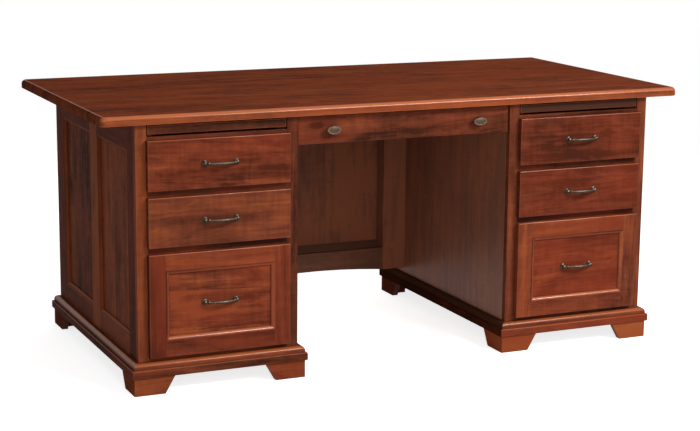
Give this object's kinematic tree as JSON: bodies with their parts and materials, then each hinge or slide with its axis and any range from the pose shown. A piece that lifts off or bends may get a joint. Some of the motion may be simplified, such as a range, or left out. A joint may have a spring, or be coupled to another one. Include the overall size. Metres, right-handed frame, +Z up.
{
  "type": "pedestal desk",
  "caption": "Double pedestal desk in stained hardwood with box, file and pencil drawers, pull-out writing boards, framed sides and bracket feet.",
  "frame": {"origin": "on the floor under the middle of the desk's bounding box, pulls included", "axes": "+X to the sitter's right along the desk's width, -Y out of the drawer fronts towards the sitter, +Z up"},
  "size_m": [1.815, 0.9095, 0.778],
  "materials": {
    "stained_wood": "reddish brown stain under satin lacquer",
    "drawer_wood": "clear lacquered maple",
    "case_wood": "plain sealed hardwood",
    "slide_steel": "zinc plated",
    "bronze": "dark oil rubbed bronze worn bright on the ends",
    "pewter": "aged pewter"
  },
  "bodies": {
    "desk": {"desk_top": "stained_wood", "writing_board_guides": "case_wood", "slide_cleats": "case_wood", "slide_case_members": "slide_steel", "case_bottoms": "case_wood", "modesty_frame": "stained_wood", "modesty_arched_rail": "stained_wood", "modesty_panel": "stained_wood", "left_outer_side_frame": "stained_wood", "left_outer_side_panels": "stained_wood", "left_outer_side_beads": "stained_wood", "left_inner_side": "stained_wood", "left_face_frame": "stained_wood", "left_back_frame": "stained_wood", "left_back_panel": "stained_wood", "left_base_apron": "stained_wood", "left_base_bead": "stained_wood", "left_bracket_feet": "stained_wood", "right_outer_side_frame": "stained_wood", "right_outer_side_panels": "stained_wood", "right_outer_side_beads": "stained_wood", "right_inner_side": "stained_wood", "right_face_frame": "stained_wood", "right_back_frame": "stained_wood", "right_back_panel": "stained_wood", "right_base_apron": "stained_wood", "right_base_bead": "stained_wood", "right_bracket_feet": "stained_wood"},
    "left_upper_drawer": {"left_upper_drawer_box": "drawer_wood", "left_upper_drawer_pull": "bronze", "left_upper_drawer_slides": "slide_steel", "left_upper_drawer_front": "stained_wood"},
    "left_lower_drawer": {"left_lower_drawer_box": "drawer_wood", "left_lower_drawer_pull": "bronze", "left_lower_drawer_slides": "slide_steel", "left_lower_drawer_front": "stained_wood"},
    "left_file_drawer": {"left_file_drawer_box": "drawer_wood", "left_file_drawer_pull": "bronze", "left_file_drawer_slides": "slide_steel", "left_file_drawer_front_frame": "stained_wood", "left_file_drawer_front_panel": "stained_wood"},
    "left_writing_board": {"left_writing_board": "stained_wood"},
    "right_upper_drawer": {"right_upper_drawer_box": "drawer_wood", "right_upper_drawer_pull": "bronze", "right_upper_drawer_slides": "slide_steel", "right_upper_drawer_front": "stained_wood"},
    "right_lower_drawer": {"right_lower_drawer_box": "drawer_wood", "right_lower_drawer_pull": "bronze", "right_lower_drawer_slides": "slide_steel", "right_lower_drawer_front": "stained_wood"},
    "right_file_drawer": {"right_file_drawer_box": "drawer_wood", "right_file_drawer_pull": "bronze", "right_file_drawer_slides": "slide_steel", "right_file_drawer_front_frame": "stained_wood", "right_file_drawer_front_panel": "stained_wood"},
    "right_writing_board": {"right_writing_board": "stained_wood"},
    "center_drawer": {"center_drawer_front": "stained_wood", "center_drawer_box": "drawer_wood", "center_drawer_knobs": "pewter", "center_drawer_slides": "slide_steel"}
  },
  "joints": [
    {"name": "left_upper_drawer_slide", "type": "slide", "parent": "desk", "child": "left_upper_drawer", "axis": [0, -1, 0], "range_m": [0, 0.41]},
    {"name": "left_lower_drawer_slide", "type": "slide", "parent": "desk", "child": "left_lower_drawer", "axis": [0, -1, 0], "range_m": [0, 0.41]},
    {"name": "left_file_drawer_slide", "type": "slide", "parent": "desk", "child": "left_file_drawer", "axis": [0, -1, 0], "range_m": [0, 0.41]},
    {"name": "left_writing_board_slide", "type": "slide", "parent": "desk", "child": "left_writing_board", "axis": [0, -1, 0], "range_m": [0, 0.33]},
    {"name": "right_upper_drawer_slide", "type": "slide", "parent": "desk", "child": "right_upper_drawer", "axis": [0, -1, 0], "range_m": [0, 0.41]},
    {"name": "right_lower_drawer_slide", "type": "slide", "parent": "desk", "child": "right_lower_drawer", "axis": [0, -1, 0], "range_m": [0, 0.41]},
    {"name": "right_file_drawer_slide", "type": "slide", "parent": "desk", "child": "right_file_drawer", "axis": [0, -1, 0], "range_m": [0, 0.41]},
    {"name": "right_writing_board_slide", "type": "slide", "parent": "desk", "child": "right_writing_board", "axis": [0, -1, 0], "range_m": [0, 0.33]},
    {"name": "center_drawer_slide", "type": "slide", "parent": "desk", "child": "center_drawer", "axis": [0, -1, 0], "range_m": [0, 0.3]}
  ]
}
